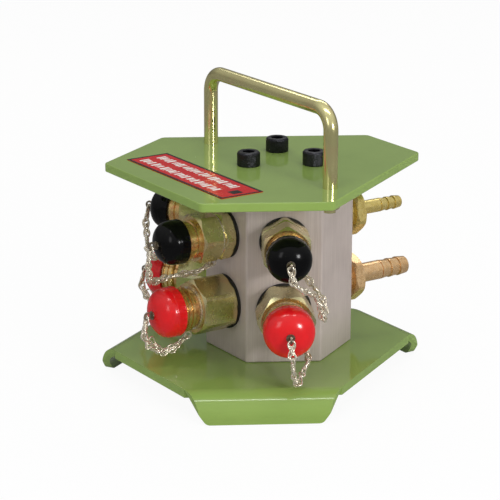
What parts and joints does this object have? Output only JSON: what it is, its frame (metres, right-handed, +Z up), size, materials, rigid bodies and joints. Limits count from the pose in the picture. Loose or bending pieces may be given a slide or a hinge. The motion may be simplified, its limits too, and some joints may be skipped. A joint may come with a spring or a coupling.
{
  "type": "three-way quick coupler",
  "caption": "Hexagonal manifold block between two green plates, with capped quick couplers on its faces, hose barbs and a carrying handle.",
  "frame": {"origin": "centre of the footprint's bounding box, on the ground under the feet", "axes": "+Z up, -Y out of the front couplers, +X to the right seen from the front"},
  "size_m": [0.2296, 0.1846, 0.2111],
  "materials": {
    "green_paint": "glossy light olive green paint, lightly scuffed",
    "bare_aluminium": "matt, finely drawn",
    "yellow_zinc": "zinc plated steel, yellow chromate with a green and pink sheen",
    "hose_brass": "machined, slightly dull",
    "black_cap_pvc": "soft glossy vinyl",
    "red_cap_pvc": "soft glossy vinyl",
    "seal_rubber": "dark moulded rubber",
    "nickel_chain": "nickel plated wire, slightly dull",
    "blued_screws": "dark oxide steel",
    "plain_steel": "clean spring and bearing steel",
    "label_print": "printed aluminium plate, red with a black border"
  },
  "bodies": {
    "front_red_cap_body": {"front_red_cap": "red_cap_pvc", "front_red_cap_eye": "nickel_chain"},
    "front_black_cap_body": {"front_black_cap": "black_cap_pvc", "front_black_cap_eye": "nickel_chain"},
    "front_sleeve_body": {"front_socket_sleeve": "yellow_zinc"},
    "front_socket_valve_body": {"front_socket_valve": "plain_steel"},
    "front_plug_valve_body": {"front_plug_valve": "plain_steel"},
    "left_red_cap_body": {"left_red_cap": "red_cap_pvc", "left_red_cap_eye": "nickel_chain"},
    "left_black_cap_body": {"left_black_cap": "black_cap_pvc", "left_black_cap_eye": "nickel_chain"},
    "left_sleeve_body": {"left_socket_sleeve": "yellow_zinc"},
    "left_socket_valve_body": {"left_socket_valve": "plain_steel"},
    "left_plug_valve_body": {"left_plug_valve": "plain_steel"},
    "rear_red_cap_body": {"rear_red_cap": "red_cap_pvc", "rear_red_cap_eye": "nickel_chain"},
    "rear_black_cap_body": {"rear_black_cap": "black_cap_pvc", "rear_black_cap_eye": "nickel_chain"},
    "rear_sleeve_body": {"rear_socket_sleeve": "yellow_zinc"},
    "rear_socket_valve_body": {"rear_socket_valve": "plain_steel"},
    "rear_plug_valve_body": {"rear_plug_valve": "plain_steel"},
    "coupler_block": {"base_plate": "green_paint", "base_plate_screws": "blued_screws", "carrying_handle": "yellow_zinc", "chain_rings": "nickel_chain", "front_black_chain": "nickel_chain", "front_plug_body": "yellow_zinc", "front_plug_valve_spring": "plain_steel", "front_red_chain": "nickel_chain", "front_sleeve_spring": "plain_steel", "front_socket_body": "yellow_zinc", "front_socket_valve_spring": "plain_steel", "handle_nuts": "yellow_zinc", "handle_washers": "yellow_zinc", "label_plate": "label_print", "left_black_chain": "nickel_chain", "left_plug_body": "yellow_zinc", "left_plug_valve_spring": "plain_steel", "left_red_chain": "nickel_chain", "left_sleeve_spring": "plain_steel", "left_socket_body": "yellow_zinc", "left_socket_valve_spring": "plain_steel", "lock_balls": "plain_steel", "lower_hose_barb": "hose_brass", "manifold_block": "bare_aluminium", "mouth_seals": "seal_rubber", "plug_adapters": "yellow_zinc", "port_seals": "seal_rubber", "rear_black_chain": "nickel_chain", "rear_plug_body": "yellow_zinc", "rear_plug_valve_spring": "plain_steel", "rear_red_chain": "nickel_chain", "rear_sleeve_spring": "plain_steel", "rear_socket_body": "yellow_zinc", "rear_socket_valve_spring": "plain_steel", "stop_rings": "plain_steel", "top_plate": "green_paint", "top_plate_screws": "blued_screws", "upper_hose_barb": "hose_brass", "valve_guides": "plain_steel"}
  },
  "joints": [
    {"name": "front_red_cap_pull", "type": "slide", "parent": "coupler_block", "child": "front_red_cap_body", "axis": [0, -1, 0], "range_m": [0, 0.02], "deforming": ["front_red_chain"]},
    {"name": "front_black_cap_pull", "type": "slide", "parent": "coupler_block", "child": "front_black_cap_body", "axis": [0, -1, 0], "range_m": [0, 0.02], "deforming": ["front_black_chain"]},
    {"name": "front_sleeve_slide", "type": "slide", "parent": "coupler_block", "child": "front_sleeve_body", "axis": [0, -1, 0], "range_m": [-0.0038, 0], "stiffness_N_per_m": 1500, "deforming": ["front_sleeve_spring"]},
    {"name": "front_socket_valve_slide", "type": "slide", "parent": "coupler_block", "child": "front_socket_valve_body", "axis": [0, -1, 0], "range_m": [-0.004, 0], "stiffness_N_per_m": 800, "deforming": ["front_socket_valve_spring"]},
    {"name": "front_plug_valve_slide", "type": "slide", "parent": "coupler_block", "child": "front_plug_valve_body", "axis": [0, -1, 0], "range_m": [-0.004, 0], "stiffness_N_per_m": 800, "deforming": ["front_plug_valve_spring"]},
    {"name": "left_red_cap_pull", "type": "slide", "parent": "coupler_block", "child": "left_red_cap_body", "axis": [-0.866, -0.5, 0], "range_m": [0, 0.02], "deforming": ["left_red_chain"]},
    {"name": "left_black_cap_pull", "type": "slide", "parent": "coupler_block", "child": "left_black_cap_body", "axis": [-0.866, -0.5, 0], "range_m": [0, 0.02], "deforming": ["left_black_chain"]},
    {"name": "left_sleeve_slide", "type": "slide", "parent": "coupler_block", "child": "left_sleeve_body", "axis": [-0.866, -0.5, 0], "range_m": [-0.0038, 0], "stiffness_N_per_m": 1500, "deforming": ["left_sleeve_spring"]},
    {"name": "left_socket_valve_slide", "type": "slide", "parent": "coupler_block", "child": "left_socket_valve_body", "axis": [-0.866, -0.5, 0], "range_m": [-0.004, 0], "stiffness_N_per_m": 800, "deforming": ["left_socket_valve_spring"]},
    {"name": "left_plug_valve_slide", "type": "slide", "parent": "coupler_block", "child": "left_plug_valve_body", "axis": [-0.866, -0.5, 0], "range_m": [-0.004, 0], "stiffness_N_per_m": 800, "deforming": ["left_plug_valve_spring"]},
    {"name": "rear_red_cap_pull", "type": "slide", "parent": "coupler_block", "child": "rear_red_cap_body", "axis": [-0.866, 0.5, 0], "range_m": [0, 0.02], "deforming": ["rear_red_chain"]},
    {"name": "rear_black_cap_pull", "type": "slide", "parent": "coupler_block", "child": "rear_black_cap_body", "axis": [-0.866, 0.5, 0], "range_m": [0, 0.02], "deforming": ["rear_black_chain"]},
    {"name": "rear_sleeve_slide", "type": "slide", "parent": "coupler_block", "child": "rear_sleeve_body", "axis": [-0.866, 0.5, 0], "range_m": [-0.0038, 0], "stiffness_N_per_m": 1500, "deforming": ["rear_sleeve_spring"]},
    {"name": "rear_socket_valve_slide", "type": "slide", "parent": "coupler_block", "child": "rear_socket_valve_body", "axis": [-0.866, 0.5, 0], "range_m": [-0.004, 0], "stiffness_N_per_m": 800, "deforming": ["rear_socket_valve_spring"]},
    {"name": "rear_plug_valve_slide", "type": "slide", "parent": "coupler_block", "child": "rear_plug_valve_body", "axis": [-0.866, 0.5, 0], "range_m": [-0.004, 0], "stiffness_N_per_m": 800, "deforming": ["rear_plug_valve_spring"]}
  ]
}
